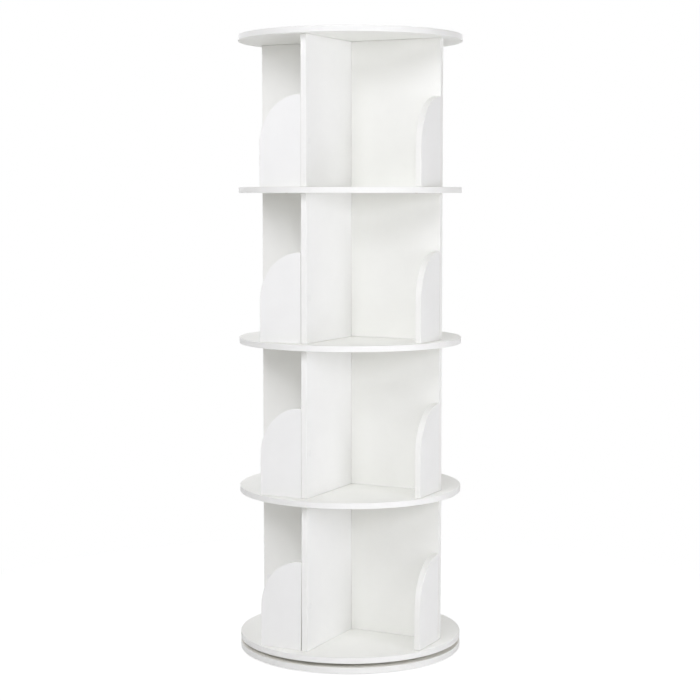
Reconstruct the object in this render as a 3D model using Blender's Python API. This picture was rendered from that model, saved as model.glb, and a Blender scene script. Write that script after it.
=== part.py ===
"""Round revolving bookcase of four tiers, at real size: metres, +Z up.

The origin is on the turning axis, at floor level. A fixed base disc stands on rubber pads and carries a
flat ball swivel. Five equal discs turn on it. Between two discs stand a long divider, two short dividers
that butt against it, and four arched book stops. Each stop sits on the clockwise side of a divider's
outer end, so the stops follow one another round the cross. Dowels locate the dividers.
"""

import math

import bmesh
import bpy
from mathutils import Matrix, Vector

# Fits
SEAT_GAP = 0.0003  # between two pieces that touch
DOWEL_PLAY = 0.0003  # round a dowel and beyond its end
CUT_PAST = 0.001  # how far a drill runs out past a face

# Discs of the turning stack
TIERS = 4
DISC_DIAMETER = 0.460
DISC_THICKNESS = 0.012
TIER_HEIGHT = 0.297  # free height between two discs
EDGE_EASE = 0.0008  # eased edges of every board

# Upright boards
UPRIGHT_THICKNESS = 0.012
DIVIDER_SETBACK = 0.025  # from a disc's rim in to a divider's outer end
STOP_WIDTH = 0.093  # along the shelf, also the radius of the arch
STOP_HEIGHT = 0.180

# Base and its pads
BASE_DIAMETER = 0.460
BASE_THICKNESS = 0.012
PADS = 4
PAD_DIAMETER = 0.040
PAD_HEIGHT = 0.002
PAD_SETBACK = 0.045  # from the base's rim in to a pad's middle
PAD_EASE = 0.0005

# Dowels
DOWEL_DIAMETER = 0.006
DOWEL_DEPTH = 0.020  # length held in an upright board
DOWEL_DISC_DEPTH = 0.008  # length held in the top and the bottom disc, short of the far face
DOWEL_CHAMFER = 0.0008
DOWEL_SETBACK = 0.055  # from a divider's outer end in to a standing dowel
CROSS_DOWEL_INSET = 0.070  # from a divider's end to a lying dowel

# Swivel: two pressed plates, hooked together by a lip, with a ring of balls between them
SHEET = 0.0012
PLATE_SIDE = 0.150
PLATE_CORNER = 0.015
RACE_RADIUS = 0.050  # from the axis to a ball's middle
RACE_WIDTH = 0.020  # flat ring of the upper plate that runs on the balls
DISH_RUN = 0.004  # slope between that ring and the plate's flat
BALLS = 16
BALL_DIAMETER = 0.0026
BALL_PLAY = 0.00025
CAGE_WIDTH = 0.007
CAGE_SHEET = 0.001
COLLAR_PLAY = 0.0028  # between the lower plate's collar and the upper plate's inner rim
LIP_OVERLAP = 0.0045  # of the lower plate's lip over the upper plate's inner rim
LIP_PLAY = 0.0005  # below and above the lip
SCREW_HOLE = 0.0045
SCREW_INSET = 0.015  # from a plate's sides to a screw hole

# Fineness of round shapes
DISC_SIDES = 72
SWIVEL_SIDES = 72
PAD_SIDES = 24
DOWEL_SIDES = 10
BALL_SIDES = 8
BALL_RINGS = 6
ARCH_STEPS = 12
SHARP_ANGLE = math.radians(50.0)

# Distances from the axis
DIVIDER_REACH = DISC_DIAMETER / 2 - DIVIDER_SETBACK
DOWEL_REACH = DIVIDER_REACH - DOWEL_SETBACK
PAD_REACH = BASE_DIAMETER / 2 - PAD_SETBACK

# Heights inside the swivel, above the base
LOWER_FLAT = SEAT_GAP
BALL_MIDDLE = LOWER_FLAT + SHEET + BALL_PLAY + BALL_DIAMETER / 2
UPPER_RING = BALL_MIDDLE + BALL_DIAMETER / 2 + BALL_PLAY
LIP = UPPER_RING + SHEET + LIP_PLAY
SWIVEL_HEIGHT = LIP + SHEET + LIP_PLAY
UPPER_FLAT = SWIVEL_HEIGHT - SEAT_GAP - SHEET

# Radii inside the swivel
RING_INNER = RACE_RADIUS - RACE_WIDTH / 2
RING_OUTER = RACE_RADIUS + RACE_WIDTH / 2
COLLAR_OUTER = RING_INNER - COLLAR_PLAY
COLLAR_INNER = COLLAR_OUTER - SHEET
LIP_OUTER = RING_INNER + LIP_OVERLAP

# Heights of the whole
BASE_Z = PAD_HEIGHT + SEAT_GAP
SWIVEL_Z = BASE_Z + BASE_THICKNESS
STACK_Z = SWIVEL_Z + SWIVEL_HEIGHT
TIER_PITCH = TIER_HEIGHT + DISC_THICKNESS
UPRIGHT_HEIGHT = TIER_HEIGHT - 2 * SEAT_GAP

QUARTER_TURN = math.pi / 2
ARMS = ("right", "back", "left", "front")


def clear_scene():
    """Empties the scene."""
    for obj in list(bpy.data.objects):
        bpy.data.objects.remove(obj, do_unlink=True)


def finish(name, colour, roughness, metallic=0.0):
    """A Principled material."""
    material = bpy.data.materials.new(name)
    material.use_nodes = True
    shader = material.node_tree.nodes["Principled BSDF"]
    shader.inputs["Base Color"].default_value = (*colour, 1.0)
    shader.inputs["Roughness"].default_value = roughness
    shader.inputs["Metallic"].default_value = metallic
    return material


def template(name, bm, material):
    """An object made of a finished bmesh, ready for modifiers."""
    bmesh.ops.recalc_face_normals(bm, faces=bm.faces)
    mesh = bpy.data.meshes.new(name)
    bm.to_mesh(mesh)
    bm.free()
    mesh.materials.append(material)
    obj = bpy.data.objects.new(name, mesh)
    bpy.context.scene.collection.objects.link(obj)
    return obj


def ease(obj, width):
    """Takes the sharpness off an object's square edges."""
    bevel = obj.modifiers.new("eased_edges", "BEVEL")
    bevel.width = width
    bevel.segments = 1
    bevel.limit_method = "ANGLE"
    bevel.angle_limit = SHARP_ANGLE


def combine(obj, tool, operation):
    """Cuts the tool from the object, or joins the two, and keeps the tool out of sight."""
    tool.hide_render = True
    tool.display_type = "WIRE"
    boolean = obj.modifiers.new(operation.lower(), "BOOLEAN")
    boolean.operation = operation
    boolean.solver = "EXACT"
    boolean.object = tool


def drill(obj, diameter, start, end, sides=DOWEL_SIDES):
    """Bores a round hole between two points."""
    path = Vector(end) - Vector(start)
    middle = (Vector(end) + Vector(start)) / 2
    place = Matrix.Translation(middle) @ path.to_track_quat("Z", "X").to_matrix().to_4x4()
    bm = bmesh.new()
    bmesh.ops.create_cone(
        bm,
        cap_ends=True,
        segments=sides,
        radius1=diameter / 2,
        radius2=diameter / 2,
        depth=path.length,
        matrix=place,
    )
    combine(obj, template("drill", bm, obj.data.materials[0]), "DIFFERENCE")


def shaped_mesh(obj):
    """The object's mesh as its modifiers leave it. The object and its tools are removed."""
    bpy.context.view_layer.update()
    graph = bpy.context.evaluated_depsgraph_get()
    mesh = bpy.data.meshes.new_from_object(obj.evaluated_get(graph))
    mesh.name = obj.name
    mesh.shade_smooth()
    mesh.set_sharp_from_angle(angle=SHARP_ANGLE)
    tools = [modifier.object for modifier in obj.modifiers if modifier.type == "BOOLEAN"]
    for used in [*tools, obj]:
        bpy.data.objects.remove(used, do_unlink=True)
    return mesh


def place(name, mesh, axis, location=(0.0, 0.0, 0.0), rotation=(0.0, 0.0, 0.0)):
    """A piece of the object, hung on the empty that marks its body's turning axis."""
    obj = bpy.data.objects.new(name, mesh)
    bpy.context.scene.collection.objects.link(obj)
    obj.parent = axis
    obj.location = Vector(location) - axis.location
    obj.rotation_euler = rotation
    return obj


def turning_axis(name, height):
    """An empty on the vertical axis that a body turns about."""
    axis = bpy.data.objects.new(name, None)
    axis.location = (0.0, 0.0, height)
    bpy.context.scene.collection.objects.link(axis)
    return axis


def round_board(name, diameter, thickness, sides, material):
    """A flat round board from z = 0 up to its thickness."""
    bm = bmesh.new()
    bmesh.ops.create_cone(
        bm,
        cap_ends=True,
        segments=sides,
        radius1=diameter / 2,
        radius2=diameter / 2,
        depth=thickness,
        matrix=Matrix.Translation((0.0, 0.0, thickness / 2)),
    )
    return template(name, bm, material)


def upright_board(name, start, end, material):
    """A divider that stands on z = 0 along X, from start to end, centred on Y."""
    bm = bmesh.new()
    bmesh.ops.create_cube(bm, size=1.0)
    bmesh.ops.scale(bm, vec=(end - start, UPRIGHT_THICKNESS, UPRIGHT_HEIGHT), verts=bm.verts)
    bmesh.ops.translate(bm, vec=((start + end) / 2, 0.0, UPRIGHT_HEIGHT / 2), verts=bm.verts)
    board = template(name, bm, material)
    ease(board, EDGE_EASE)
    return board


def disc_mesh(name, material, hole_from, hole_to):
    """A disc of the stack, bored for its two standing dowels between two heights."""
    disc = round_board(name, DISC_DIAMETER, DISC_THICKNESS, DISC_SIDES, material)
    ease(disc, EDGE_EASE)
    for x in (-DOWEL_REACH, DOWEL_REACH):
        drill(disc, DOWEL_DIAMETER + 2 * DOWEL_PLAY, (x, 0.0, hole_from), (x, 0.0, hole_to))
    return shaped_mesh(disc)


def long_divider_mesh(material):
    """The divider that runs right through the axis.

    Both its ends are bored for the standing dowels, and the lying dowels pass through its middle.
    """
    board = upright_board("long_divider", -DIVIDER_REACH, DIVIDER_REACH, material)
    hole = DOWEL_DIAMETER + 2 * DOWEL_PLAY
    depth = DOWEL_DEPTH + DOWEL_PLAY
    for x in (-DOWEL_REACH, DOWEL_REACH):
        drill(board, hole, (x, 0.0, -CUT_PAST), (x, 0.0, depth))
        drill(board, hole, (x, 0.0, UPRIGHT_HEIGHT - depth), (x, 0.0, UPRIGHT_HEIGHT + CUT_PAST))
    past_face = UPRIGHT_THICKNESS / 2 + CUT_PAST
    for z in cross_dowel_heights():
        drill(board, hole, (0.0, -past_face, z), (0.0, past_face, z))
    return shaped_mesh(board)


def short_divider_mesh(material):
    """A divider along +X that butts against the long one, bored there for the lying dowels."""
    inner = UPRIGHT_THICKNESS / 2 + SEAT_GAP
    board = upright_board("short_divider", inner, DIVIDER_REACH, material)
    hole = DOWEL_DIAMETER + 2 * DOWEL_PLAY
    for z in cross_dowel_heights():
        drill(board, hole, (inner - CUT_PAST, 0.0, z), (inner + DOWEL_DEPTH + DOWEL_PLAY, 0.0, z))
    return shaped_mesh(board)


def cross_dowel_heights():
    """Heights of the lying dowels above a divider's foot."""
    return (CROSS_DOWEL_INSET, UPRIGHT_HEIGHT - CROSS_DOWEL_INSET)


def book_stop_mesh(material):
    """The arched stop of the divider that points along +X.

    Its outline is a rectangle whose outer top corner is a quarter circle as wide as the stop. It stands
    across the divider's end, on the -Y side, with its outer face flush with that end.
    """
    outer_face = DIVIDER_REACH
    seam = -UPRIGHT_THICKNESS / 2 - SEAT_GAP
    shoulder = STOP_HEIGHT - STOP_WIDTH
    outline = [(0.0, 0.0), (STOP_WIDTH, 0.0)]
    for step in range(ARCH_STEPS + 1):
        angle = QUARTER_TURN * step / ARCH_STEPS
        outline.append((STOP_WIDTH * math.cos(angle), shoulder + STOP_WIDTH * math.sin(angle)))
    bm = bmesh.new()
    corners = [bm.verts.new((outer_face, seam - across, up)) for across, up in outline]
    front = bm.faces.new(corners)
    grown = bmesh.ops.extrude_face_region(bm, geom=[front])["geom"]
    moved = [item for item in grown if isinstance(item, bmesh.types.BMVert)]
    bmesh.ops.translate(bm, vec=(-UPRIGHT_THICKNESS, 0.0, 0.0), verts=moved)
    stop = template("book_stop", bm, material)
    ease(stop, EDGE_EASE)
    return shaped_mesh(stop)


def dowel_mesh(name, length, material):
    """A dowel along Z, centred, with chamfered ends."""
    bm = bmesh.new()
    bmesh.ops.create_cone(
        bm,
        cap_ends=True,
        segments=DOWEL_SIDES,
        radius1=DOWEL_DIAMETER / 2,
        radius2=DOWEL_DIAMETER / 2,
        depth=length,
    )
    dowel = template(name, bm, material)
    ease(dowel, DOWEL_CHAMFER)
    return shaped_mesh(dowel)


def plate_edge(angle):
    """Distance from the axis to the edge of a round-cornered square plate, in one direction.

    Within a side the edge is straight. Within a corner it is an arc about the corner's own centre.
    """
    half = PLATE_SIDE / 2
    straight = half - PLATE_CORNER
    folded = abs((angle + QUARTER_TURN / 2) % QUARTER_TURN - QUARTER_TURN / 2)
    if math.tan(folded) <= straight / half:
        return half / math.cos(folded)
    corner = straight * math.sqrt(2.0)
    lean = folded - QUARTER_TURN / 2
    return corner * math.cos(lean) + math.sqrt(PLATE_CORNER**2 - (corner * math.sin(lean)) ** 2)


def pressed_plate(name, profile, material):
    """A plate turned from a closed profile of (radius, height) points.

    A radius of None lies on the plate's square edge, so the turned middle and the square flat are one
    sheet.
    """
    bm = bmesh.new()
    turns = [2 * math.pi * side / SWIVEL_SIDES for side in range(SWIVEL_SIDES)]
    rings = []
    for radius, height in profile:
        ring = []
        for angle in turns:
            reach = plate_edge(angle) if radius is None else radius
            ring.append(bm.verts.new((reach * math.cos(angle), reach * math.sin(angle), height)))
        rings.append(ring)
    for ring, following in zip(rings, [*rings[1:], rings[0]]):
        for side in range(SWIVEL_SIDES):
            beside = (side + 1) % SWIVEL_SIDES
            bm.faces.new((ring[side], ring[beside], following[beside], following[side]))
    plate = template(name, bm, material)
    hole_at = PLATE_SIDE / 2 - SCREW_INSET
    below = min(height for _, height in profile) - CUT_PAST
    above = max(height for _, height in profile) + CUT_PAST
    for x in (-hole_at, hole_at):
        for y in (-hole_at, hole_at):
            drill(plate, SCREW_HOLE, (x, y, below), (x, y, above))
    return shaped_mesh(plate)


def lower_plate_mesh(material):
    """The plate on the base: a flat, a collar round its opening and a lip turned outwards on top."""
    profile = (
        (COLLAR_INNER, LOWER_FLAT),
        (None, LOWER_FLAT),
        (None, LOWER_FLAT + SHEET),
        (COLLAR_OUTER, LOWER_FLAT + SHEET),
        (COLLAR_OUTER, LIP),
        (LIP_OUTER, LIP),
        (LIP_OUTER, LIP + SHEET),
        (COLLAR_INNER, LIP + SHEET),
    )
    return pressed_plate("swivel_lower_plate", profile, material)


def upper_plate_mesh(material):
    """The plate under the stack: a flat, dished down to a ring that runs on the balls, under the lip."""
    flat_from = RING_OUTER + DISH_RUN
    profile = (
        (RING_INNER, UPPER_RING),
        (RING_OUTER, UPPER_RING),
        (flat_from, UPPER_FLAT),
        (None, UPPER_FLAT),
        (None, UPPER_FLAT + SHEET),
        (flat_from, UPPER_FLAT + SHEET),
        (RING_OUTER, UPPER_RING + SHEET),
        (RING_INNER, UPPER_RING + SHEET),
    )
    return pressed_plate("swivel_upper_plate", profile, material)


def ball_cage_mesh(material):
    """The flat ring that holds the balls, with the balls seated in it, at their middle height."""
    bm = bmesh.new()
    low = BALL_MIDDLE - CAGE_SHEET / 2
    high = BALL_MIDDLE + CAGE_SHEET / 2
    inner = RACE_RADIUS - CAGE_WIDTH / 2
    outer = RACE_RADIUS + CAGE_WIDTH / 2
    corners = [(inner, low), (outer, low), (outer, high), (inner, high)]
    section = [bm.verts.new((radius, 0.0, height)) for radius, height in corners]
    edges = [bm.edges.new((a, b)) for a, b in zip(section, [*section[1:], section[0]])]
    bmesh.ops.spin(
        bm,
        geom=[*section, *edges],
        axis=(0.0, 0.0, 1.0),
        cent=(0.0, 0.0, 0.0),
        angle=2 * math.pi,
        steps=SWIVEL_SIDES,
        use_merge=True,
    )
    cage = template("swivel_ball_cage", bm, material)
    bm = bmesh.new()
    for ball in range(BALLS):
        turned = Matrix.Rotation(2 * math.pi * ball / BALLS, 4, "Z")
        bmesh.ops.create_uvsphere(
            bm,
            u_segments=BALL_SIDES,
            v_segments=BALL_RINGS,
            radius=BALL_DIAMETER / 2,
            matrix=turned @ Matrix.Translation((RACE_RADIUS, 0.0, BALL_MIDDLE)),
        )
    combine(cage, template("balls", bm, material), "UNION")
    return shaped_mesh(cage)


def build_base(axis):
    """The fixed body: pads, base disc and the swivel's lower plate."""
    rubber = finish("pad_rubber", (0.05, 0.05, 0.05), 0.8)
    pad = round_board("foot_pad", PAD_DIAMETER, PAD_HEIGHT, PAD_SIDES, rubber)
    ease(pad, PAD_EASE)
    pad_mesh = shaped_mesh(pad)
    for number in range(PADS):
        angle = 2 * math.pi * (number + 0.5) / PADS
        where = (PAD_REACH * math.cos(angle), PAD_REACH * math.sin(angle), 0.0)
        place(f"foot_pad_{number + 1}", pad_mesh, axis, where)
    white = finish("base_white", (0.88, 0.88, 0.87), 0.42)
    disc = round_board("base_disc", BASE_DIAMETER, BASE_THICKNESS, DISC_SIDES, white)
    ease(disc, EDGE_EASE)
    place("base_disc", shaped_mesh(disc), axis, (0.0, 0.0, BASE_Z))
    zinc = finish("lower_plate_zinc", (0.62, 0.63, 0.64), 0.35, 1.0)
    place("swivel_lower_plate", lower_plate_mesh(zinc), axis, (0.0, 0.0, SWIVEL_Z))


def build_ball_cage(axis):
    """The ring of balls, which rolls round between the two plates."""
    nylon = finish("cage_nylon", (0.78, 0.77, 0.72), 0.5)
    place("swivel_ball_cage", ball_cage_mesh(nylon), axis, (0.0, 0.0, SWIVEL_Z))


def build_discs(axis):
    """The five discs and the upper plate that carries them."""
    zinc = finish("upper_plate_zinc", (0.62, 0.63, 0.64), 0.35, 1.0)
    plate_turn = (0.0, 0.0, QUARTER_TURN / 2)
    place("swivel_upper_plate", upper_plate_mesh(zinc), axis, (0.0, 0.0, SWIVEL_Z), plate_turn)
    white = finish("disc_white", (0.89, 0.89, 0.88), 0.42)
    blind = DOWEL_DISC_DEPTH + DOWEL_PLAY
    past_top = DISC_THICKNESS + CUT_PAST
    bottom = disc_mesh("bottom_disc", white, DISC_THICKNESS - blind, past_top)
    shelf = disc_mesh("shelf_disc", white, -CUT_PAST, past_top)
    top = disc_mesh("top_disc", white, -CUT_PAST, blind)
    place("bottom_disc", bottom, axis, (0.0, 0.0, disc_z(0)))
    for number in range(1, TIERS):
        place(f"shelf_disc_{number}", shelf, axis, (0.0, 0.0, disc_z(number)))
    place("top_disc", top, axis, (0.0, 0.0, disc_z(TIERS)))


def disc_z(number):
    """Height of a disc's underside, counted from the bottom disc."""
    return STACK_Z + number * TIER_PITCH


def build_tiers(axis):
    """The dividers and book stops of every tier."""
    divider_white = finish("divider_white", (0.88, 0.88, 0.87), 0.45)
    stop_white = finish("stop_white", (0.90, 0.90, 0.89), 0.45)
    long_divider = long_divider_mesh(divider_white)
    short_divider = short_divider_mesh(divider_white)
    stop = book_stop_mesh(stop_white)
    for tier in range(TIERS):
        name = f"tier_{tier + 1}"
        foot = (0.0, 0.0, disc_z(tier) + DISC_THICKNESS + SEAT_GAP)
        place(f"{name}_long_divider", long_divider, axis, foot)
        for arm, side in enumerate(ARMS):
            turned = (0.0, 0.0, arm * QUARTER_TURN)
            if side in ("front", "back"):
                place(f"{name}_short_divider_{side}", short_divider, axis, foot, turned)
            place(f"{name}_book_stop_{side}", stop, axis, foot, turned)


def build_dowels(axis):
    """Standing dowels through the discs, and lying dowels through the middle of each cross."""
    beech = finish("dowel_beech", (0.62, 0.45, 0.27), 0.6)
    through_length = DISC_THICKNESS + 2 * (SEAT_GAP + DOWEL_DEPTH)
    end_length = DOWEL_DISC_DEPTH + SEAT_GAP + DOWEL_DEPTH
    cross_length = UPRIGHT_THICKNESS + 2 * (SEAT_GAP + DOWEL_DEPTH)
    through = dowel_mesh("through_dowel", through_length, beech)
    end = dowel_mesh("end_dowel", end_length, beech)
    cross = dowel_mesh("cross_dowel", cross_length, beech)
    bottom_middle = disc_z(0) + DISC_THICKNESS - DOWEL_DISC_DEPTH + end_length / 2
    top_middle = disc_z(TIERS) + DOWEL_DISC_DEPTH - end_length / 2
    for side, x in (("right", DOWEL_REACH), ("left", -DOWEL_REACH)):
        place(f"bottom_disc_dowel_{side}", end, axis, (x, 0.0, bottom_middle))
        for number in range(1, TIERS):
            middle = disc_z(number) + DISC_THICKNESS / 2
            place(f"shelf_disc_{number}_dowel_{side}", through, axis, (x, 0.0, middle))
        place(f"top_disc_dowel_{side}", end, axis, (x, 0.0, top_middle))
    lying = (QUARTER_TURN, 0.0, 0.0)
    for tier in range(TIERS):
        foot = disc_z(tier) + DISC_THICKNESS + SEAT_GAP
        for level, height in zip(("low", "high"), cross_dowel_heights()):
            place(f"tier_{tier + 1}_cross_dowel_{level}", cross, axis, (0.0, 0.0, foot + height), lying)


def main():
    """Builds the bookcase."""
    clear_scene()
    base_axis = turning_axis("base_axis", 0.0)
    cage_axis = turning_axis("ball_cage_axis", SWIVEL_Z + BALL_MIDDLE)
    stack_axis = turning_axis("stack_axis", STACK_Z)
    build_base(base_axis)
    build_ball_cage(cage_axis)
    build_discs(stack_axis)
    build_tiers(stack_axis)
    build_dowels(stack_axis)


main()
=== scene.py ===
"""Looks of a revolving bookcase: white boards with banded edges, stacked on a flat ball swivel.

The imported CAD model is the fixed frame. Each visible board is stood for by a finer surface in the
same place, with eased and banded edges. Fittings whose CAD shape is right keep it and get a finish.
Lengths are in metres and angles in radians, unless a docstring says otherwise.
"""

import logging
import math
from dataclasses import dataclass
from enum import Enum
from typing import NamedTuple

import bpy
import numpy as np
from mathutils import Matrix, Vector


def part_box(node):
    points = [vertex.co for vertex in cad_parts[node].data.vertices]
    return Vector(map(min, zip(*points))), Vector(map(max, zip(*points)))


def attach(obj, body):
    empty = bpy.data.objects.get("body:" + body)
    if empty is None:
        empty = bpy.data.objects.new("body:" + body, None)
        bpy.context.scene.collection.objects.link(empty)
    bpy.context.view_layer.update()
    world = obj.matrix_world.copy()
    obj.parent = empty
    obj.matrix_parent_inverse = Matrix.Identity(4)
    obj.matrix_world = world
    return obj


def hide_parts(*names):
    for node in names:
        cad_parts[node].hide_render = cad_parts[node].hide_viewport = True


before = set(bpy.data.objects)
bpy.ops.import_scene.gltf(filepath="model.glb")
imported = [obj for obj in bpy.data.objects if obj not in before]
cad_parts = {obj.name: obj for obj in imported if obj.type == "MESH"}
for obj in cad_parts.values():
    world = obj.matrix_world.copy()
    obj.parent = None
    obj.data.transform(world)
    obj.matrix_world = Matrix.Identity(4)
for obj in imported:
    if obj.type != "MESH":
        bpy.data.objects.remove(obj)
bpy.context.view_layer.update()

Array = np.ndarray
Point = tuple[float, float, float]
Colour = tuple[float, float, float]
Span = tuple[float, float]
Socket = bpy.types.NodeSocket
Owner = bpy.types.Material | bpy.types.World

LOG = logging.getLogger("bookcase")
TIERS = 4
QUARTER = math.pi / 2
FULL: Span = (0.0, 1.0)
MIDDLE: Span = (0.3, 0.7)
EVEN: Point = (1.0, 1.0, 1.0)
WHITE: Colour = (1.0, 1.0, 1.0)
X_AXIS, Y_AXIS, Z_AXIS = np.eye(3)


class Body(Enum):
    """Bodies of the CAD model that a new piece can ride on."""

    BASE = "base"
    STACK = "turning_stack"


class Slot(Enum):
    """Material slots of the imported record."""

    DISC = "disc_board"
    BASE = "base_board"
    DIVIDER = "divider_board"
    STOP = "stop_board"
    SWIVEL = "swivel_steel"


class Arm(Enum):
    """Arms of a divider cross, each with its quarter turns from the right-hand one."""

    RIGHT = 0
    BACK = 1
    LEFT = 2
    FRONT = 3

    def turn(self) -> Array:
        """Matrix that turns a row vector of the right-hand arm to this one, about the axis."""
        angle = self.value * QUARTER
        return np.array([[math.cos(angle), math.sin(angle), 0.0],
                         [-math.sin(angle), math.cos(angle), 0.0],
                         [0.0, 0.0, 1.0]])


class Lay(Enum):
    """Which way a band runs along its edge, as the stretch of its pattern on X, Y and Z."""

    ROUND_A_DISC = (12.0, 12.0, 1400.0)
    UP_AN_UPRIGHT = (1400.0, 1400.0, 12.0)


class Grain(NamedTuple):
    """Noise of one detail of a surface.

    It has `scale` features to the metre, `detail` octaves of finer noise and `rough` as the share
    of those. The window is the range of its values that shows, and the stretch a factor on X, Y
    and Z.
    """

    scale: float
    detail: float
    rough: float = 0.5
    window: Span = MIDDLE
    stretch: Point = EVEN


class Relief(NamedTuple):
    """Bump of a surface: its depth for a height of 0 to 1, and how much of it shows."""

    depth: float
    strength: float


class ShaderBench:
    """A node tree while it is put together."""

    def __init__(self, owner: Owner, output: str) -> None:
        """Starts with nothing in the tree but its output.

        Args:
            owner: material or world that holds the tree.
            output: Blender's type name of the output node.
        """
        owner.use_nodes = True
        self.owner = owner
        self.tree = owner.node_tree
        self.tree.nodes.clear()
        self.output = self.add(output)

    @classmethod
    def for_material(cls, name: str) -> "ShaderBench":
        """A bench for a new material."""
        return cls(bpy.data.materials.new(name), "ShaderNodeOutputMaterial")

    @classmethod
    def for_world(cls, name: str) -> "ShaderBench":
        """A bench for a new world."""
        return cls(bpy.data.worlds.new(name), "ShaderNodeOutputWorld")

    def add(self, kind: str, settings: dict | None = None, **inputs: object) -> bpy.types.Node:
        """Adds a node and fills its sockets.

        Args:
            kind: Blender's type name of the node.
            settings: values for the node's own properties.
            inputs: socket values or sockets to link from, by socket name with _ for a space.

        Returns:
            The new node.
        """
        node = self.tree.nodes.new(kind)
        for name, value in (settings or {}).items():
            setattr(node, name, value)
        for name, value in inputs.items():
            self.feed(node.inputs[name.replace("_", " ")], value)
        return node

    def feed(self, socket: Socket, value: object) -> None:
        """Links a socket from another one, or sets its value.

        Args:
            socket: input socket to fill.
            value: an output socket, or a plain value.
        """
        if isinstance(value, Socket):
            self.tree.links.new(value, socket)
        else:
            socket.default_value = value

    def place(self, stretch: Point = EVEN) -> Socket:
        """Object coordinates, stretched on each axis.

        Args:
            stretch: factor on X, Y and Z.

        Returns:
            The vector socket.
        """
        coordinates = self.add("ShaderNodeTexCoord").outputs["Object"]
        return self.add("ShaderNodeMapping", Vector=coordinates, Scale=stretch).outputs["Vector"]

    def noise(self, grain: Grain) -> Socket:
        """Soft noise in space.

        Args:
            grain: size and character of the noise.

        Returns:
            Its value, about 0 to 1.
        """
        return self.add("ShaderNodeTexNoise", Vector=self.place(grain.stretch), Scale=grain.scale,
                        Detail=grain.detail, Roughness=grain.rough).outputs["Fac"]

    def cells(self, scale: float, output: str) -> Socket:
        """Irregular cells in space.

        Args:
            scale: cells to the metre.
            output: name of the cell texture's output.

        Returns:
            That output.
        """
        return self.add("ShaderNodeTexVoronoi", Vector=self.place(), Scale=scale).outputs[output]

    def maths(self, operation: str, *values: object) -> Socket:
        """One operation on sockets and numbers.

        Args:
            operation: Blender's name of the operation.
            values: what it works on, in order.

        Returns:
            The result.
        """
        node = self.add("ShaderNodeMath", {"operation": operation})
        for socket, value in zip(node.inputs, values):
            self.feed(socket, value)
        return node.outputs[0]

    def span(self, value: Socket, source: Span, target: Span = FULL) -> Socket:
        """Maps one range of values to another, clamped.

        Args:
            value: socket to map.
            source: lowest and highest value that comes in.
            target: what they become.

        Returns:
            The mapped socket.
        """
        node = self.add("ShaderNodeMapRange", Value=value)
        ends = ("From Min", "From Max", "To Min", "To Max")
        for name, number in zip(ends, source + target):
            node.inputs[name].default_value = number
        return node.outputs["Result"]

    def patches(self, grain: Grain, target: Span = FULL) -> Socket:
        """Noise whose window is mapped to a range.

        Args:
            grain: the noise.
            target: what the ends of its window become.

        Returns:
            The mapped noise.
        """
        return self.span(self.noise(grain), grain.window, target)

    def blend(self, share: Socket, first: Colour | Socket, second: Colour | Socket) -> Socket:
        """Mixes two colours.

        Args:
            share: how much of the second colour.
            first: colour or socket at 0.
            second: colour or socket at 1.

        Returns:
            The mixed colour.
        """
        node = self.add("ShaderNodeMix", {"data_type": "RGBA"})
        factor, colour_a, colour_b, mixed = 0, 6, 7, 2
        for index, value in ((factor, share), (colour_a, first), (colour_b, second)):
            self.feed(node.inputs[index], (*value, 1.0) if isinstance(value, tuple) else value)
        return node.outputs[mixed]

    def relief(self, height: Socket, relief: Relief, under: Socket | None = None) -> Socket:
        """Bump from a height.

        Args:
            height: height, 0 to 1.
            relief: depth and strength of the bump.
            under: normal of a coarser relief below this one.

        Returns:
            The normal socket.
        """
        node = self.add("ShaderNodeBump", Height=height, Distance=relief.depth,
                        Strength=relief.strength)
        if under is not None:
            self.feed(node.inputs["Normal"], under)
        return node.outputs["Normal"]

    def either(self, first: bpy.types.Node, second: bpy.types.Node,
               share: Socket) -> bpy.types.Node:
        """Mixes two shaders.

        Args:
            first: shader at 0.
            second: shader at 1.
            share: how much of the second.

        Returns:
            The mixing node.
        """
        node = self.add("ShaderNodeMixShader", Fac=share)
        self.feed(node.inputs[1], first.outputs[0])
        self.feed(node.inputs[2], second.outputs[0])
        return node

    def finish(self, shader: bpy.types.Node) -> Owner:
        """Ends the tree with a surface shader and hands over what holds it."""
        self.tree.links.new(shader.outputs[0], self.output.inputs["Surface"])
        return self.owner

    def coat(self, **inputs: object) -> bpy.types.Material:
        """Ends the tree with one principled shader, its sockets filled as add() fills them."""
        return self.finish(self.add("ShaderNodeBsdfPrincipled", **inputs))


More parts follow.
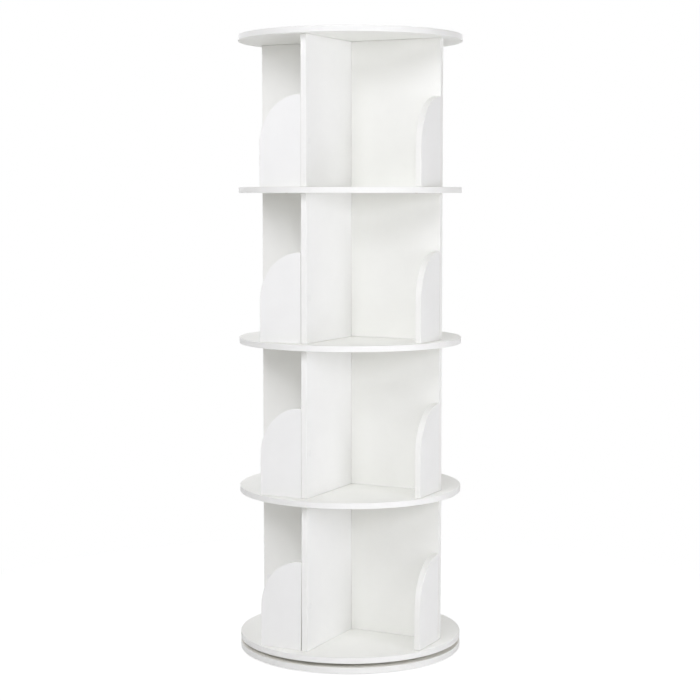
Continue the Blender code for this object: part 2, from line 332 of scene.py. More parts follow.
@dataclass(frozen=True)
class MelamineFinish:
    """White melamine paper pressed on a board: a faint pebble, cloudy tone and satin gloss."""

    name: str
    tone: Colour = (0.918, 0.921, 0.881)
    shade: Colour = (0.900, 0.903, 0.864)
    fleck_dim: float = 0.975
    fleck_share: Span = (0.0, 0.7)
    cloud: Grain = Grain(14.0, 4.0, 0.62, (0.32, 0.70))
    pebble: Grain = Grain(900.0, 2.0, 0.55, (0.58, 0.80))
    swell: Grain = Grain(45.0, 1.0)
    gloss: Grain = Grain(160.0, 3.0)
    satin: Span = (0.44, 0.56)
    pebble_relief: Relief = Relief(0.00006, 0.45)
    swell_relief: Relief = Relief(0.0004, 0.10)
    ior: float = 1.47

    def material(self) -> bpy.types.Material:
        """Mixes two whites by cloudy and fine noise, with pebbled relief and uneven gloss.

        Returns:
            The material.
        """
        bench = ShaderBench.for_material(self.name)
        pebble = bench.noise(self.pebble)
        tone = bench.blend(bench.patches(self.cloud), self.tone, self.shade)
        deep = tuple(self.fleck_dim * part for part in self.shade)
        flecks = bench.span(pebble, self.pebble.window, self.fleck_share)
        swell = bench.relief(bench.noise(self.swell), self.swell_relief)
        return bench.coat(Base_Color=bench.blend(flecks, tone, deep),
                          Roughness=bench.patches(self.gloss, self.satin),
                          Normal=bench.relief(pebble, self.pebble_relief, swell), IOR=self.ior)


@dataclass(frozen=True)
class EdgeBandFinish:
    """Thin plastic band ironed on a board's edge: smoother, with faint drawing lines."""

    name: str
    lay: Lay
    tone: Colour = (0.885, 0.885, 0.847)
    shade: Colour = (0.872, 0.872, 0.835)
    mottle: Grain = Grain(60.0, 4.0, 0.6, (0.35, 0.70))
    line_detail: float = 3.0
    line_rough: float = 0.6
    line_relief: Relief = Relief(0.00003, 0.30)
    satin: Span = (0.58, 0.70)
    gloss_level: float = 0.35
    ior: float = 1.47

    def material(self) -> bpy.types.Material:
        """Draws lines along the band by noise stretched that way.

        Returns:
            The material.
        """
        bench = ShaderBench.for_material(self.name)
        lines = bench.noise(Grain(1.0, self.line_detail, self.line_rough, stretch=self.lay.value))
        return bench.coat(Base_Color=bench.blend(bench.patches(self.mottle), self.tone, self.shade),
                          Roughness=bench.span(lines, MIDDLE, self.satin),
                          Specular_IOR_Level=self.gloss_level, IOR=self.ior,
                          Normal=bench.relief(lines, self.line_relief))


@dataclass(frozen=True)
class CapFinish:
    """White plastic of the screw covers, a shade greyer than the boards."""

    name: str = "cap_plastic"
    tone: Colour = (0.880, 0.881, 0.862)
    shade: Colour = (0.860, 0.861, 0.842)
    spark: Grain = Grain(2600.0, 3.0, 0.6, (0.35, 0.70))
    spark_relief: Relief = Relief(0.00004, 0.4)
    satin: Span = (0.38, 0.55)
    ior: float = 1.49

    def material(self) -> bpy.types.Material:
        """Moulded plastic with a fine spark-worn relief.

        Returns:
            The material.
        """
        bench = ShaderBench.for_material(self.name)
        spark = bench.noise(self.spark)
        share = bench.span(spark, self.spark.window)
        return bench.coat(Base_Color=bench.blend(share, self.tone, self.shade),
                          Roughness=bench.span(spark, MIDDLE, self.satin),
                          Normal=bench.relief(spark, self.spark_relief), IOR=self.ior)


@dataclass(frozen=True)
class BeechFinish:
    """Fluted beech of the dowels: fine growth lines and short darker flecks."""

    name: str = "dowel_beech"
    early: Colour = (0.66, 0.47, 0.30)
    late: Colour = (0.50, 0.32, 0.18)
    fleck: Colour = (0.36, 0.20, 0.10)
    fleck_share: Span = (0.0, 0.6)
    rings: Grain = Grain(1.0, 4.0, 0.6, (0.35, 0.68), (90.0, 700.0, 700.0))
    flecks: Grain = Grain(1.0, 2.0, 0.5, (0.62, 0.75), (500.0, 2400.0, 2400.0))
    ring_relief: Relief = Relief(0.0001, 0.5)
    satin: Span = (0.55, 0.75)
    ior: float = 1.45

    def material(self) -> bpy.types.Material:
        """Growth lines from stretched noise, flecks from finer noise.

        Returns:
            The material.
        """
        bench = ShaderBench.for_material(self.name)
        rings = bench.noise(self.rings)
        wood = bench.blend(bench.span(rings, self.rings.window), self.early, self.late)
        flecks = bench.patches(self.flecks, self.fleck_share)
        return bench.coat(Base_Color=bench.blend(flecks, wood, self.fleck),
                          Roughness=bench.span(rings, MIDDLE, self.satin),
                          Normal=bench.relief(rings, self.ring_relief), IOR=self.ior)


@dataclass(frozen=True)
class ZincFinish:
    """Zinc-plated sheet steel: small spangles, rolling lines and a dull grey sheen."""

    name: str = "zinc_sheet"
    bright: Colour = (0.66, 0.67, 0.68)
    dull: Colour = (0.47, 0.48, 0.50)
    tarnish: Colour = (0.36, 0.36, 0.37)
    spangle_scale: float = 420.0
    spangle_window: Span = (0.2, 0.8)
    spangle_share: Span = (0.0, 0.7)
    stain: Grain = Grain(38.0, 4.0, 0.6, (0.52, 0.74))
    stain_share: Span = (0.0, 0.55)
    rolling: Grain = Grain(1.0, 4.0, 0.6, stretch=(30.0, 900.0, 30.0))
    rolling_relief: Relief = Relief(0.00003, 0.35)
    satin: Span = (0.26, 0.44)

    def material(self) -> bpy.types.Material:
        """Spangles from cells, rolling lines from stretched noise.

        Returns:
            The material.
        """
        bench = ShaderBench.for_material(self.name)
        rolling = bench.noise(self.rolling)
        cell = bench.cells(self.spangle_scale, "Color")
        grey = bench.add("ShaderNodeRGBToBW", Color=cell).outputs[0]
        plate = bench.blend(bench.span(grey, self.spangle_window, self.spangle_share),
                            self.bright, self.dull)
        stain = bench.patches(self.stain, self.stain_share)
        return bench.coat(Base_Color=bench.blend(stain, plate, self.tarnish), Metallic=1.0,
                          Roughness=bench.span(rolling, self.rolling.window, self.satin),
                          Normal=bench.relief(rolling, self.rolling_relief))


@dataclass(frozen=True)
class BallCageFinish:
    """Ball ring: nylon between the two levels of its sheet, polished steel balls beyond them."""

    middle: float
    half_sheet: float
    name: str = "ball_cage"
    nylon: Colour = (0.70, 0.68, 0.60)
    nylon_shade: Colour = (0.60, 0.57, 0.48)
    steel: Colour = (0.60, 0.61, 0.63)
    change: Span = (1.02, 1.10)
    flow: Grain = Grain(300.0, 3.0)
    flow_share: Span = (0.0, 0.5)
    flow_relief: Relief = Relief(0.00005, 0.3)
    satin: Span = (0.26, 0.42)

    def material(self) -> bpy.types.Material:
        """Parts nylon from steel by the height over the sheet's middle.

        Returns:
            The material.
        """
        bench = ShaderBench.for_material(self.name)
        height = bench.add("ShaderNodeSeparateXYZ", Vector=bench.place()).outputs["Z"]
        rise = bench.maths("ABSOLUTE", bench.maths("SUBTRACT", height, self.middle))
        start, end = self.change
        metal = bench.span(rise, (self.half_sheet * start, self.half_sheet * end))
        flow = bench.noise(self.flow)
        nylon = bench.blend(bench.span(flow, self.flow.window, self.flow_share),
                            self.nylon, self.nylon_shade)
        return bench.coat(Metallic=metal, Base_Color=bench.blend(metal, nylon, self.steel),
                          Roughness=bench.span(flow, self.flow.window, self.satin),
                          Normal=bench.relief(flow, self.flow_relief))


@dataclass(frozen=True)
class RubberFinish:
    """Dark grey foam rubber of the pads: closed pores and a dull, dusty skin."""

    name: str = "pad_rubber"
    skin: Colour = (0.075, 0.075, 0.078)
    dust: Colour = (0.17, 0.165, 0.155)
    dusting: Grain = Grain(190.0, 4.0, 0.65, (0.45, 0.75))
    dust_share: Span = (0.0, 0.8)
    pore_scale: float = 1300.0
    pore_relief: Relief = Relief(0.0002, 0.6)
    satin: Span = (0.7, 0.95)
    ior: float = 1.5

    def material(self) -> bpy.types.Material:
        """Pores from cells, dust from cloudy noise.

        Returns:
            The material.
        """
        bench = ShaderBench.for_material(self.name)
        pores = bench.cells(self.pore_scale, "Distance")
        dust = bench.patches(self.dusting, self.dust_share)
        return bench.coat(Base_Color=bench.blend(dust, self.skin, self.dust),
                          Roughness=bench.span(dust, FULL, self.satin),
                          Normal=bench.relief(pores, self.pore_relief), IOR=self.ior)


@dataclass(frozen=True)
class Outline:
    """A closed outline, counter-clockwise, with the outward normal at each of its points."""

    points: Array
    normals: Array

    def centre(self) -> Array:
        """Middle of the outline's box."""
        return (self.points.min(axis=0) + self.points.max(axis=0)) / 2


def eased_outline(corners: Array, reaches: Array, steps: Array, hold: float) -> Outline:
    """Outline of a convex polygon whose corners are rounded off by quarters of ellipses.

    At a corner c with directions d in and e out, the curve leaves the first side p before the
    corner and meets the next one q after it: c - p * (1 - sin a) * d + q * (1 - cos a) * e, for a
    from 0 to a quarter turn. The normal is to the right of its tangent,
    p * cos(a) * d + q * sin(a) * e. A point `hold` before and one after each curve keep the
    straight runs straight.

    Args:
        corners: corner points, counter-clockwise, one row each.
        reaches: p and q at each corner.
        steps: number of chords in each curve.
        hold: length of the short straight run beside each curve.

    Returns:
        The rounded outline.
    """
    into = corners - np.roll(corners, 1, axis=0)
    into = into / np.linalg.norm(into, axis=1, keepdims=True)
    out = np.roll(into, -1, axis=0)
    points, normals = [], []
    for corner, d, e, (p, q), chords in zip(corners, into, out, reaches, steps):
        angle = np.linspace(0.0, QUARTER, int(chords) + 1)[:, None]
        curve = corner - p * (1 - np.sin(angle)) * d + q * (1 - np.cos(angle)) * e
        tangent = p * np.cos(angle) * d + q * np.sin(angle) * e
        normal = tangent[:, ::-1] * (1, -1) / np.linalg.norm(tangent, axis=1, keepdims=True)
        points.append(np.concatenate([curve[:1] - hold * d, curve, curve[-1:] + hold * e]))
        normals.append(np.concatenate([normal[:1], normal, normal[-1:]]))
    return Outline(np.concatenate(points), np.concatenate(normals))


def columns_round(columns: int) -> Array:
    """Evenly spaced angles round a circle."""
    return np.arange(columns) * 2 * math.pi / columns


def round_outline(radius: float, columns: int, joint_angle: float, joint_width: float,
                  joint_depth: float) -> Outline:
    """Circle with one fine notch, where the two ends of its edge band meet.

    The circle is radius * (cos a, sin a). Three more points make the notch: its two lips, half its
    width to each side of the joint, and its floor between them.

    Args:
        radius: radius of the circle.
        columns: evenly spaced points.
        joint_angle: where the notch is, halfway between two of those points.
        joint_width: width of the notch.
        joint_depth: depth of the notch.

    Returns:
        The outline.
    """
    half = joint_width / 2 / radius
    even = joint_angle + math.pi / columns + columns_round(columns)
    notch = joint_angle + half * np.array([-1.0, 0.0, 1.0])
    angle = np.concatenate([notch, even])
    reach = np.full(len(angle), radius)
    reach[1] -= joint_depth
    normals = np.stack([np.cos(angle), np.sin(angle)], axis=1)
    return Outline(reach[:, None] * normals, normals)


def eased_profile(thickness: float, ease: float, band: float, steps: int,
                  rings: tuple[float, ...]) -> tuple[Array, Array]:
    """Half section of a board, from the middle of its underside round its edge to its top's middle.

    Each row is (inset, height, reach). On the eased corners the inset is ease * (1 - sin a) and the
    height ease * (1 - cos a), for a from 0 to a quarter turn, mirrored for the top. Rows at the
    band's thickness and on the edge keep the flats flat, and rings with a reach under 1 carry the
    faces inwards.

    Args:
        thickness: board thickness.
        ease: radius of the eased corners.
        band: thickness of the edge band, where the face begins.
        steps: chords in each eased corner.
        rings: reaches of the rings across each face, growing.

    Returns:
        The rows, and for each strip between two rows 1 where the band covers it, else 0.
    """
    angle = np.linspace(0.0, QUARTER, steps + 1)
    corner = np.stack([ease * (1 - np.sin(angle)), ease * (1 - np.cos(angle)),
                       np.ones_like(angle)], axis=1)
    reach = np.array(rings)
    face = np.stack([np.full_like(reach, band), np.zeros_like(reach), reach], axis=1)
    lower = np.concatenate([face, [[band, 0.0, 1.0]], corner, [[0.0, ease + band, 1.0]]])
    upper = lower[::-1] * (1, -1, 1) + (0, thickness, 0)
    rows = np.concatenate([lower, upper])
    banded = np.zeros(len(rows) - 1, dtype=int)
    banded[len(rings):len(banded) - len(rings)] = 1
    return rows, banded


@dataclass(frozen=True)
class Surface:
    """A closed surface of quads, with a fan of triangles at each pole and finish numbers."""

    points: Array
    quads: Array
    fans: Array
    quad_finish: Array

    @classmethod
    def from_rings(cls, rings: Array, poles: Array, finish: Array) -> "Surface":
        """Joins rings of points to a closed skin.

        Args:
            rings: points by ring and column, the rings from the lower pole to the upper one and
                the columns counter-clockwise seen from above.
            poles: lower and upper pole.
            finish: finish number of each strip between two rings.

        Returns:
            The surface.
        """
        count, columns = rings.shape[:2]
        index = 1 + np.arange(count * columns).reshape(count, columns)
        after = np.roll(index, -1, axis=1)
        quads = np.stack([index[:-1], after[:-1], after[1:], index[1:]], axis=-1).reshape(-1, 4)
        last = np.full(columns, 1 + count * columns)
        fans = np.concatenate([np.stack([np.zeros(columns, int), after[0], index[0]], axis=1),
                               np.stack([last, index[-1], after[-1]], axis=1)])
        points = np.concatenate([poles[:1], rings.reshape(-1, 3), poles[1:]])
        return cls(points, quads, fans, np.repeat(finish, columns))

    @classmethod
    def board(cls, outline: Outline, profile: Array, banded: Array) -> "Surface":
        """Carries a half section round an outline.

        The point of row (inset, height, reach) at an outline point p with normal n is
        c + reach * (p - inset * n - c), raised by the height, where c is the outline's middle.

        Args:
            outline: outline of the board in its own plane.
            profile: rows of the half section.
            banded: finish number of each strip between two rows.

        Returns:
            The board's surface, lying in the XY plane with its thickness along Z.
        """
        inset, height, reach = (profile[:, None, None, part] for part in range(3))
        centre = outline.centre()
        flat = centre + reach * (outline.points - inset * outline.normals - centre)
        rings = np.concatenate([flat, np.broadcast_to(height, flat.shape[:2] + (1,))], axis=2)
        poles = np.array([[*centre, profile[0, 1]], [*centre, profile[-1, 1]]])
        return cls.from_rings(rings, poles, banded)

    def placed(self, origin: Point, u_axis: Array, v_axis: Array) -> "Surface":
        """Moves the surface's own X, Y and Z to u, v and u x v at an origin.

        Args:
            origin: where the surface's own origin goes.
            u_axis: direction of its X.
            v_axis: direction of its Y.

        Returns:
            The placed surface.
        """
        axes = np.stack([u_axis, v_axis, np.cross(u_axis, v_axis)])
        return Surface(self.points @ axes + np.asarray(origin), self.quads, self.fans,
                       self.quad_finish)

    def turned(self, arm: Arm) -> "Surface":
        """The surface turned from the right-hand arm to another one."""
        return Surface(self.points @ arm.turn(), self.quads, self.fans, self.quad_finish)

    def on_all_arms(self) -> "Surface":
        """One surface of this one, on the right-hand arm, and its turned copies on the others.

        Returns:
            All four in one, each still closed by itself.
        """
        every = [self, *(self.turned(arm) for arm in (Arm.BACK, Arm.LEFT, Arm.FRONT))]
        starts = np.arange(len(every)) * len(self.points)
        return Surface(np.concatenate([part.points for part in every]),
                       np.concatenate([self.quads + start for start in starts]),
                       np.concatenate([self.fans + start for start in starts]),
                       np.tile(self.quad_finish, len(every)))

    def to_object(self, name: str, materials: list[bpy.types.Material]) -> bpy.types.Object:
        """Puts the surface into a mesh object at the origin.

        Args:
            name: name of the piece.
            materials: material of each finish number.

        Returns:
            The object, linked to the scene.
        """
        mesh = bpy.data.meshes.new(name)
        mesh.from_pydata(self.points.tolist(), [], self.quads.tolist() + self.fans.tolist())
        for material in materials:
            mesh.materials.append(material)
        finish = np.concatenate([self.quad_finish, np.zeros(len(self.fans), int)])
        mesh.polygons.foreach_set("material_index", finish.astype(np.int32))
        mesh.polygons.foreach_set("use_smooth", np.ones(len(finish), dtype=bool))
        mesh.update()
        piece = bpy.data.objects.new(name, mesh)
        bpy.context.scene.collection.objects.link(piece)
        return piece


def settle(piece: bpy.types.Object, body: Body, slot: Slot | None = None, *nodes: str) -> None:
    """Ties a piece to the frame and reports it.

    Args:
        piece: the finished piece.
        body: body that it rides on.
        slot: not used.
        nodes: CAD nodes that it stands for.
    """
    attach(piece, body.value)
    if nodes:
        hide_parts(*nodes)
    LOG.info("%s: %d faces on %s", piece.name, len(piece.data.polygons), body.value)


def dress_node(name: str, material: bpy.types.Material) -> None:
    """Gives a CAD node that stays in view its finish, and reports it.

    Args:
        name: name of the node.
        material: material for all of it.
    """
    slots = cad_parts[name].material_slots
    if not slots:
        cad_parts[name].data.materials.append(material)
    for slot in slots:
        slot.link = "OBJECT"
        slot.material = material
    LOG.info("%s: dressed as %s", name, material.name)


@dataclass
class DiscBoards:
    """The fixed base disc and the five discs that turn, their bands' joints fanned at the back.

    The base's faces, seen only through the gap above it, are a warmer white than the others':
    painted warm shade of the gap.
    """

    radius: float = 0.230
    thickness: float = 0.012
    ease: float = 0.0008
    band: float = 0.0010
    ease_steps: int = 5
    columns: int = 288
    joint_width: float = 0.0003
    joint_depth: float = 0.00015
    joint_first: float = math.radians(50.0)
    joint_step: float = math.radians(20.0)
    rings: tuple[float, ...] = (0.12, 0.35, 0.60, 0.82)
    # Lighter white than the other boards' faces: painted light on the disc tops and undersides.
    face: MelamineFinish = MelamineFinish("disc_melamine", (0.938, 0.942, 0.901),
                                          (0.920, 0.924, 0.884))
    # Warmer white: painted warm shade, seen only in the dark gap over the base.
    painted_shade_base_face: MelamineFinish = MelamineFinish("base_melamine", (0.939, 0.923, 0.863),
                                               (0.921, 0.905, 0.846))
    edge: EdgeBandFinish = EdgeBandFinish("disc_edge_band", Lay.ROUND_A_DISC,
                                          (0.875, 0.878, 0.847), (0.861, 0.864, 0.834))

    def names(self) -> list[str]:
        """CAD nodes of the discs, from the floor up."""
        shelves = (f"shelf_disc_{n}" for n in range(1, TIERS))
        return ["base_disc", "bottom_disc", *shelves, "top_disc"]

    def build(self) -> None:
        """Builds each disc on its CAD node."""
        rows, banded = eased_profile(self.thickness, self.ease, self.band, self.ease_steps,
                                     self.rings)
        face, painted_shade_base_face, edge = (finish.material()
                                 for finish in (self.face, self.painted_shade_base_face, self.edge))
        for level, node in enumerate(self.names()):
            outline = round_outline(self.radius, self.columns,
                                    self.joint_first + level * self.joint_step,
                                    self.joint_width, self.joint_depth)
            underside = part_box(node)[0].z
            disc = Surface.board(outline, rows, banded).placed((0.0, 0.0, underside),
                                                               X_AXIS, Y_AXIS)
            fixed = node == "base_disc"
            # The base takes the warmer white of painted gap shade.
            settle(disc.to_object(f"{node}_board", [painted_shade_base_face if fixed else face, edge]),
                   Body.BASE if fixed else Body.STACK, Slot.BASE if fixed else Slot.DISC, node)


@dataclass
class UprightBoards:
    """What dividers and book stops share: boards on edge, with eased corners and a thin band."""

    ease: float = 0.0003
    corner: float = 0.0013
    band: float = 0.0010
    hold: float = 0.0010
    ease_steps: int = 4
    corner_steps: int = 4
    rings: tuple[float, ...] = (0.30, 0.75)

    def slab(self, corners: Array, reaches: Array, steps: Array, thickness: float) -> Surface:
        """A board with eased edges.

        Args:
            corners: corners of its outline, counter-clockwise.
            reaches: how far each corner's rounding reaches along its two sides.
            steps: chords in each rounding.
            thickness: board thickness, along its own Z.

        Returns:
            The board, in its own XY plane.
        """
        rows, banded = eased_profile(thickness, self.ease, self.band, self.ease_steps, self.rings)
        return Surface.board(eased_outline(corners, reaches, steps, self.hold), rows, banded)


@dataclass
class DividerBoards(UprightBoards):
    """The cross of dividers in each tier: one long board and two short ones."""

    face: MelamineFinish = MelamineFinish("divider_melamine")
    # Darker, less yellow white than the long divider's: painted shade on the short dividers.
    painted_shade_short_face: MelamineFinish = MelamineFinish("short_divider_melamine", (0.905, 0.906, 0.886),
                                                (0.887, 0.888, 0.869))
    edge: EdgeBandFinish = EdgeBandFinish("divider_edge_band", Lay.UP_AN_UPRIGHT,
                                          (0.899, 0.900, 0.868), (0.886, 0.887, 0.855))

    def board(self, length: float, height: float, thickness: float) -> Surface:
        """A rectangular board.

        Args:
            length: along its own X.
            height: along its own Y.
            thickness: along its own Z.

        Returns:
            The board with its corner at the origin.
        """
        corners = np.array([[0.0, 0.0], [length, 0.0], [length, height], [0.0, height]])
        return self.slab(corners, np.full((4, 2), self.corner), np.full(4, self.corner_steps),
                         thickness)

    def build(self) -> None:
        """Builds the three dividers of each tier on their CAD nodes."""
        edge = self.edge.material()
        finishes = [self.face.material(), edge]
        # The short dividers take the darker white of painted shade.
        painted_shade_short_finishes = [self.painted_shade_short_face.material(), edge]
        for tier in range(1, TIERS + 1):
            node = f"tier_{tier}_long_divider"
            low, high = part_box(node)
            size = high - low
            long = self.board(size.x, size.z, size.y).placed((low.x, high.y, low.z),
                                                             X_AXIS, Z_AXIS)
            settle(long.to_object(f"{node}_board", finishes), Body.STACK, Slot.DIVIDER, node)
            for side in (Arm.FRONT, Arm.BACK):
                node = f"tier_{tier}_short_divider_{side.name.lower()}"
                low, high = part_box(node)
                size = high - low
                short = self.board(size.y, size.z, size.x).placed(tuple(low), Y_AXIS, Z_AXIS)
                settle(short.to_object(f"{node}_board", painted_shade_short_finishes), Body.STACK,
                       Slot.DIVIDER, node)


@dataclass
class BookStops(UprightBoards):
    """The arched book stops, one at the end of each divider arm.

    The open joint at the divider is given tier by tier, at the foot and at the top.
    """

    hold: float = 0.0006
    rings: tuple[float, ...] = (0.35, 0.75)
    arch_drop: float = 0.0990
    arch_steps: int = 56
    flat_run: float = 0.0018
    foot_gaps: tuple[float, ...] = (0.0020, 0.0003, 0.0008, 0.0)
    top_gaps: tuple[float, ...] = (0.0002, 0.0001, 0.0007, 0.0)
    # Greyer white than the dividers': painted shade on the stops' outer faces.
    face: MelamineFinish = MelamineFinish("stop_melamine", (0.891, 0.894, 0.869),
                                          (0.873, 0.876, 0.851))
    edge: EdgeBandFinish = EdgeBandFinish("stop_edge_band", Lay.UP_AN_UPRIGHT)

    def board(self, width: float, height: float, thickness: float, foot_gap: float,
              top_gap: float) -> Surface:
        """A board whose outer top corner is an arch, nearly as wide as the board.

        Args:
            width: from the divider outwards.
            height: height at the divider.
            thickness: board thickness.
            foot_gap: open joint at the divider, at the foot.
            top_gap: open joint at the divider, at the top.

        Returns:
            The board, its X away from the divider and its Y up.
        """
        corners = np.array([[foot_gap, 0.0], [width, 0.0], [width, height], [top_gap, height]])
        flat_top = top_gap + self.corner + self.flat_run
        reaches = np.full((4, 2), self.corner)
        reaches[2] = self.arch_drop, width - flat_top
        steps = np.full(4, self.corner_steps)
        steps[2] = self.arch_steps
        return self.slab(corners, reaches, steps, thickness)

    def build(self) -> None:
        """Builds the four stops of each tier on their CAD nodes."""
        finishes = [self.face.material(), self.edge.material()]
        for tier, gaps in enumerate(zip(self.foot_gaps, self.top_gaps), 1):
            low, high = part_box(f"tier_{tier}_book_stop_right")
            size = high - low
            right = self.board(size.y, size.z, size.x, *gaps).placed((high.x, high.y, low.z),
                                                                     -Y_AXIS, Z_AXIS)
            for arm in Arm:
                node = f"tier_{tier}_book_stop_{arm.name.lower()}"
                settle(right.turned(arm).to_object(f"{node}_board", finishes), Body.STACK,
                       Slot.STOP, node)


@dataclass
class ScrewCovers:
    """Thin round covers over the screws that hold the book stops, on the dividers' free faces."""

    radius: float = 0.0065
    rise: float = 0.0004
    sink: float = 0.0003
    floor_share: float = 0.5
    crown_angle: float = 0.15
    from_end: float = 0.0130
    height: float = 0.090
    columns: int = 40
    rows: int = 7
    finish: CapFinish = CapFinish()

    def cover(self) -> Surface:
        """A low dome with a rounded rim.

        The radius is R * sin a and the height rise * cos(a) ** 0.5, for a from a quarter turn at
        the rim to nearly 0 at the crown, over a short straight wall that is sunk in the board.

        Returns:
            The cover, its crown along Z.
        """
        angle = np.linspace(QUARTER, self.crown_angle, self.rows)
        reach = np.concatenate([[self.floor_share * self.radius, self.radius],
                                self.radius * np.sin(angle)])
        height = np.concatenate([[-self.sink, -self.sink],
                                 self.rise * np.sqrt(np.abs(np.cos(angle)))])
        around = columns_round(self.columns)
        circle = np.stack([np.cos(around), np.sin(around), np.zeros_like(around)], axis=1)
        rings = reach[:, None, None] * circle + height[:, None, None] * Z_AXIS
        poles = np.array([[0.0, 0.0, -self.sink], [0.0, 0.0, self.rise]])
        return Surface.from_rings(rings, poles, np.zeros(len(reach) - 1, int))

    def build(self) -> None:
        """Sets one cover on each divider arm, opposite its book stop, tier by tier."""
        material = self.finish.material()
        cover = self.cover()
        for tier in range(1, TIERS + 1):
            low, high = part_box(f"tier_{tier}_long_divider")
            spot = (high.x - self.from_end, high.y, low.z + self.height)
            group = cover.placed(spot, Z_AXIS, X_AXIS).on_all_arms()
            settle(group.to_object(f"tier_{tier}_screw_covers", [material]), Body.STACK)


@dataclass
class SwivelFittings:
    """The flat ball swivel: plates and ball ring from CAD, and the pan-head screws through them."""

    head_radius: float = 0.0036
    head_rise: float = 0.0015
    rim_rise: float = 0.0001
    seat_share: float = 0.8
    crown_rows: int = 16
    crown_share: float = 0.06
    crown_power: int = 4
    shank_radius: float = 0.0019
    shank_length: float = 0.0090
    point_length: float = 0.0030
    point_taper: float = 0.0010
    point_shares: Span = (0.2, 0.7)
    tip_length: float = 0.0003
    recess_reach: float = 0.0022
    recess_width: float = 0.0004
    recess_depth: float = 0.0009
    recess_slope: float = 0.4
    screw_reach: float = 0.060
    plate_sheet: float = 0.0012
    cage_sheet: float = 0.0010
    columns: int = 48
    zinc: ZincFinish = ZincFinish()
    screw_zinc: ZincFinish = ZincFinish("screw_zinc", (0.70, 0.70, 0.69), (0.54, 0.54, 0.54))

    def screw(self) -> Surface:
        """A pan-head screw with a cross recess, its head up and the head's seat at height 0.

        The head's crown is rise * (1 - (r / R) ** 4). The recess takes its depth away where the
        smaller of |x| and |y| is under its half width and r is within its reach, with soft edges.
        Below the seat come the shank and its point.

        Returns:
            The screw.
        """
        start = self.point_length - self.shank_length
        end, taper = (share * self.shank_radius for share in self.point_shares)
        neck = [[end, -self.shank_length], [taper, start - self.point_taper],
                [self.shank_radius, start], [self.shank_radius, 0.0],
                [self.seat_share * self.head_radius, 0.0], [self.head_radius, self.rim_rise]]
        share = np.linspace(1.0, self.crown_share, self.crown_rows)
        crown = np.stack([share * self.head_radius,
                          self.head_rise * (1 - share ** self.crown_power)], axis=1)
        profile = np.concatenate([neck, crown])
        around = columns_round(self.columns)
        x = profile[:, :1] * np.cos(around)
        y = profile[:, :1] * np.sin(around)
        z = np.broadcast_to(profile[:, 1:], x.shape).copy()
        slot = np.clip(2.0 - np.minimum(np.abs(x), np.abs(y)) / self.recess_width, 0.0, 1.0)
        slope = self.recess_slope * self.recess_reach
        reach = np.clip((self.recess_reach - np.hypot(x, y)) / slope, 0.0, 1.0)
        z[len(neck):] -= (self.recess_depth * slot * reach)[len(neck):]
        poles = np.array([[0.0, 0.0, -self.shank_length - self.tip_length],
                          [0.0, 0.0, self.head_rise - self.recess_depth]])
        return Surface.from_rings(np.stack([x, y, z], axis=2), poles,
                                  np.zeros(len(profile) - 1, int))

    def build(self) -> None:
        """Dresses the plates and the ball ring, and drives four screws through each plate."""
        plate = self.zinc.material()
        for node in ("swivel_lower_plate", "swivel_upper_plate"):
            dress_node(node, plate)
        low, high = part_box("swivel_ball_cage")
        cage = BallCageFinish((low.z + high.z) / 2, self.cage_sheet / 2)
        dress_node("swivel_ball_cage", cage.material())
        material = self.screw_zinc.material()
        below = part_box("swivel_lower_plate")[0].z + self.plate_sheet
        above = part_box("swivel_upper_plate")[1].z - self.plate_sheet
        far = self.screw_reach * math.sqrt(2.0)
        screw = self.screw()
        lower = screw.placed((self.screw_reach, self.screw_reach, below), X_AXIS, Y_AXIS)
        upper = screw.placed((far, 0.0, above), X_AXIS, -Y_AXIS)
        for name, first, body in (("swivel_lower_screws", lower, Body.BASE),
                                  ("swivel_upper_screws", upper, Body.STACK)):
            settle(first.on_all_arms().to_object(name, [material]), body, Slot.SWIVEL)


@dataclass
class HiddenFittings:
    """Dowels between the boards and pads under the base, which keep their CAD shape."""

    wood: BeechFinish = BeechFinish()
    rubber: RubberFinish = RubberFinish()

    def build(self) -> None:
        """Dresses every dowel and pad."""
        wood, rubber = self.wood.material(), self.rubber.material()
        for name in sorted(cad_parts):
            if "dowel" in name:
                dress_node(name, wood)
            elif name.startswith("foot_pad"):
                dress_node(name, rubber)


@dataclass(frozen=True)
class Softbox:
    """A soft lamp that stands round the object and is aimed at a height on its axis.

    Its bearing is in degrees to the right of the camera, seen from the object, its power in watts.
    """

    name: str
    bearing: float
    distance: float
    height: float
    aim: float
    wide: float
    tall: float
    power: float
    spread: float = math.pi

    def build(self, azimuth: float, tint: Colour) -> None:
        """Makes the lamp.

        Args:
            azimuth: the camera's azimuth.
            tint: colour of the light.
        """
        lamp = bpy.data.lights.new(self.name, "AREA")
        lamp.shape = "RECTANGLE"
        lamp.size, lamp.size_y = self.wide, self.tall
        lamp.energy = self.power
        lamp.spread = self.spread
        lamp.color = tint
        holder = bpy.data.objects.new(self.name, lamp)
        turn = azimuth + math.radians(self.bearing)
        holder.location = (self.distance * math.sin(turn), -self.distance * math.cos(turn),
                           self.height)
        holder.rotation_euler = (math.atan2(self.distance, self.height - self.aim), 0.0, turn)
        holder.visible_camera = False
        bpy.context.scene.collection.objects.link(holder)


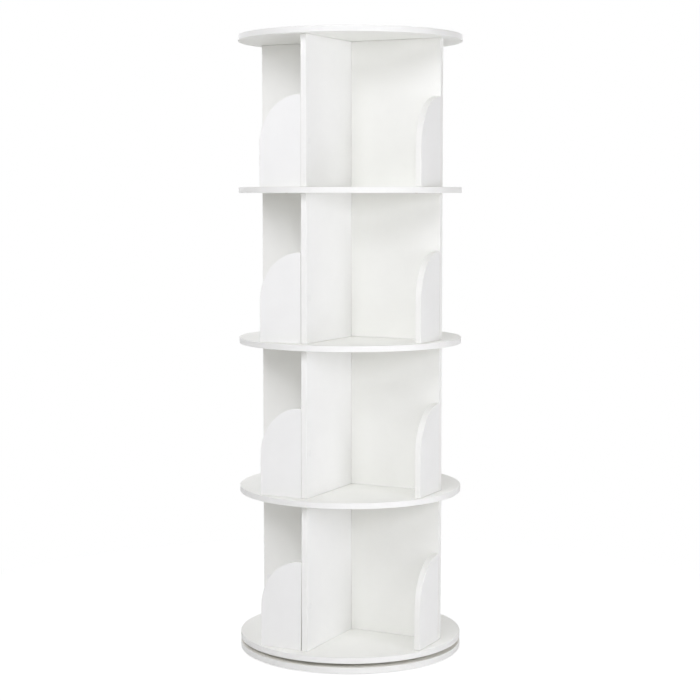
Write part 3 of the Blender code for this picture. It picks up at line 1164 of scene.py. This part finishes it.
@dataclass
class Studio:
    """White floor, white surround, soft lamps and the photograph's camera.

    The lens and the sensor are in millimetres, and the shift is a share of the sensor's width.
    """

    floor_half: float = 30.0
    floor_drop: float = 0.0002
    floor_bounce: float = 0.88
    floor_white: float = 0.72
    floor_shadow: float = 0.45
    floor_fade: Span = (0.4, 1.1)
    ambient: float = 0.181
    ambient_tint: Colour = (1.0, 0.950, 0.850)
    tint: Colour = (0.936, 0.938, 1.0)
    lens: float = 85.53
    sensor: float = 36.0
    shift: float = -0.0337
    distance: float = 3.449
    eye: float = 0.9499
    azimuth: float = math.radians(26.54)
    dip: float = math.radians(4.599)
    pan: float = math.radians(0.010)
    lamps: tuple[Softbox, ...] = (
        Softbox("key_lamp", -22.5, 3.0, 2.6, 0.65, 1.4, 1.3, 35.1),
        Softbox("near_left_lamp", -50.0, 1.8, 1.8, 0.65, 1.2, 0.6, 5.6),
        Softbox("front_lamp", 0.0, 3.2, 1.4, 0.65, 0.6, 0.6, 14.3),
        Softbox("right_lamp", 40.0, 2.0, 1.0, 0.65, 0.8, 0.8, 10.65),
        Softbox("high_right_lamp", 45.0, 2.0, 2.3, 0.65, 0.8, 0.8, 3.15),
        Softbox("low_right_lamp", 50.0, 1.8, 0.25, 0.40, 0.6, 0.6, 4.5),
        Softbox("left_lamp", -80.0, 2.0, 1.2, 0.65, 0.8, 0.8, 3.95),
        Softbox("back_left_lamp", -150.0, 2.2, 1.6, 0.65, 1.2, 1.2, 17.85),
        Softbox("back_right_lamp", 150.0, 2.2, 1.6, 0.65, 1.2, 1.2, 16.4),
        Softbox("top_lamp", 0.0, 0.0, 3.2, 0.65, 0.4, 0.4, 0.45, math.radians(28.0)),
    )

    def seen(self, bench: ShaderBench) -> Socket:
        """1 for rays that show the surround itself: from the camera, in gloss and through glass.

        Args:
            bench: tree to add the nodes to.

        Returns:
            The switch socket.
        """
        path = bench.add("ShaderNodeLightPath")
        total = path.outputs["Is Camera Ray"]
        for ray in ("Is Glossy Ray", "Is Transmission Ray"):
            total = bench.maths("MAXIMUM", total, path.outputs[ray])
        return total

    def floor(self) -> None:
        """Lays a floor that looks white, keeps the object's shadow and sends light back up.

        Near the object it shows a grey that the light fills up to white, save in the shadow. The
        grey fades to plain white over the distances of floor_fade.
        """
        reach = self.floor_half
        mesh = bpy.data.meshes.new("studio_floor")
        corners = [(-reach, -reach), (reach, -reach), (reach, reach), (-reach, reach)]
        mesh.from_pydata([(x, y, -self.floor_drop) for x, y in corners], [], [(0, 1, 2, 3)])
        bench = ShaderBench.for_material("studio_floor")
        away = bench.add("ShaderNodeVectorMath", {"operation": "LENGTH"})
        bench.feed(away.inputs[0], bench.place())
        far = bench.span(away.outputs["Value"], self.floor_fade)
        glow = bench.add("ShaderNodeEmission", Strength=self.floor_white)
        shaded = bench.add("ShaderNodeBsdfDiffuse", Color=(*[self.floor_shadow] * 3, 1.0))
        near = bench.add("ShaderNodeAddShader")
        bench.feed(near.inputs[0], glow.outputs[0])
        bench.feed(near.inputs[1], shaded.outputs[0])
        shown = bench.either(near, bench.add("ShaderNodeEmission", Strength=1.0), far)
        bounce = bench.add("ShaderNodeBsdfDiffuse", Color=(*[self.floor_bounce] * 3, 1.0))
        mesh.materials.append(bench.finish(bench.either(bounce, shown, self.seen(bench))))
        plane = bpy.data.objects.new("studio_floor", mesh)
        bpy.context.scene.collection.objects.link(plane)

    def surround(self) -> None:
        """Sets a white surround that lights the object less than it shows."""
        bench = ShaderBench.for_world("studio_surround")
        light = bench.add("ShaderNodeBackground", Strength=self.ambient,
                          Color=(*self.ambient_tint, 1.0))
        shown = bench.add("ShaderNodeBackground", Strength=1.0, Color=(*WHITE, 1.0))
        bpy.context.scene.world = bench.finish(bench.either(light, shown, self.seen(bench)))

    def camera(self) -> None:
        """Stands the camera where the photograph was taken."""
        lens = bpy.data.cameras.new("photo_camera")
        lens.lens, lens.sensor_width = self.lens, self.sensor
        lens.shift_y = self.shift
        holder = bpy.data.objects.new("photo_camera", lens)
        holder.location = (self.distance * math.sin(self.azimuth),
                           -self.distance * math.cos(self.azimuth), self.eye)
        holder.rotation_euler = (QUARTER - self.dip, 0.0, self.azimuth + self.pan)
        bpy.context.scene.collection.objects.link(holder)
        bpy.context.scene.camera = holder

    def build(self) -> None:
        """Sets up the whole studio."""
        bpy.context.scene.view_settings.view_transform = "Standard"
        self.floor()
        self.surround()
        for lamp in self.lamps:
            lamp.build(self.azimuth, self.tint)
        self.camera()


def main() -> None:
    """Builds the bookcase and its studio."""
    logging.basicConfig(level=logging.INFO, format="%(name)s %(message)s")
    for assembly in (DiscBoards(), DividerBoards(), BookStops(), ScrewCovers(), SwivelFittings(),
                     HiddenFittings(), Studio()):
        LOG.info("building %s", type(assembly).__name__)
        assembly.build()


if __name__ == "__main__":
    main()
